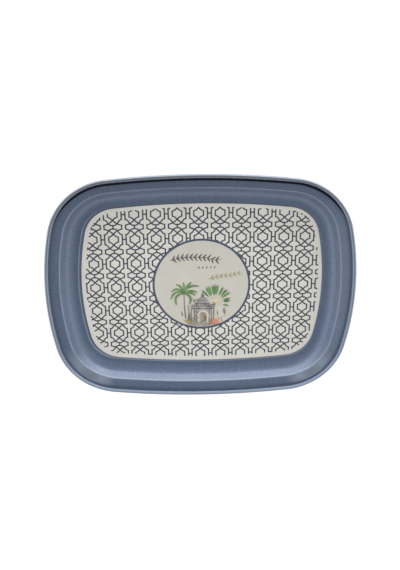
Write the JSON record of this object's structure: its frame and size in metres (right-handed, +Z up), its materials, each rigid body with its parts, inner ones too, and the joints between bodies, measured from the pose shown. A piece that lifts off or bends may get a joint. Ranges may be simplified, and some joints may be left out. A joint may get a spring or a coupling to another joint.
{
  "type": "serving tray",
  "caption": "Shallow pressed-metal serving tray, a rounded rectangle with sloping walls, flat flange, wired bead rim and a printed panel in its base.",
  "frame": {"origin": "middle of the footprint, on the ground under the tray", "axes": "+X along the long side, +Y along the short side towards the top of the printed picture, +Z up out of the dish"},
  "size_m": [0.38, 0.293, 0.0225],
  "materials": {
    "pan_paint": "satin blue-grey metallic paint",
    "wire_steel": "bare drawn wire",
    "panel_print": "satin film with a dark blue lattice print on cream"
  },
  "bodies": {
    "root": {"tray_pan": "pan_paint", "rim_wire": "wire_steel", "printed_panel": "panel_print"}
  },
  "joints": []
}
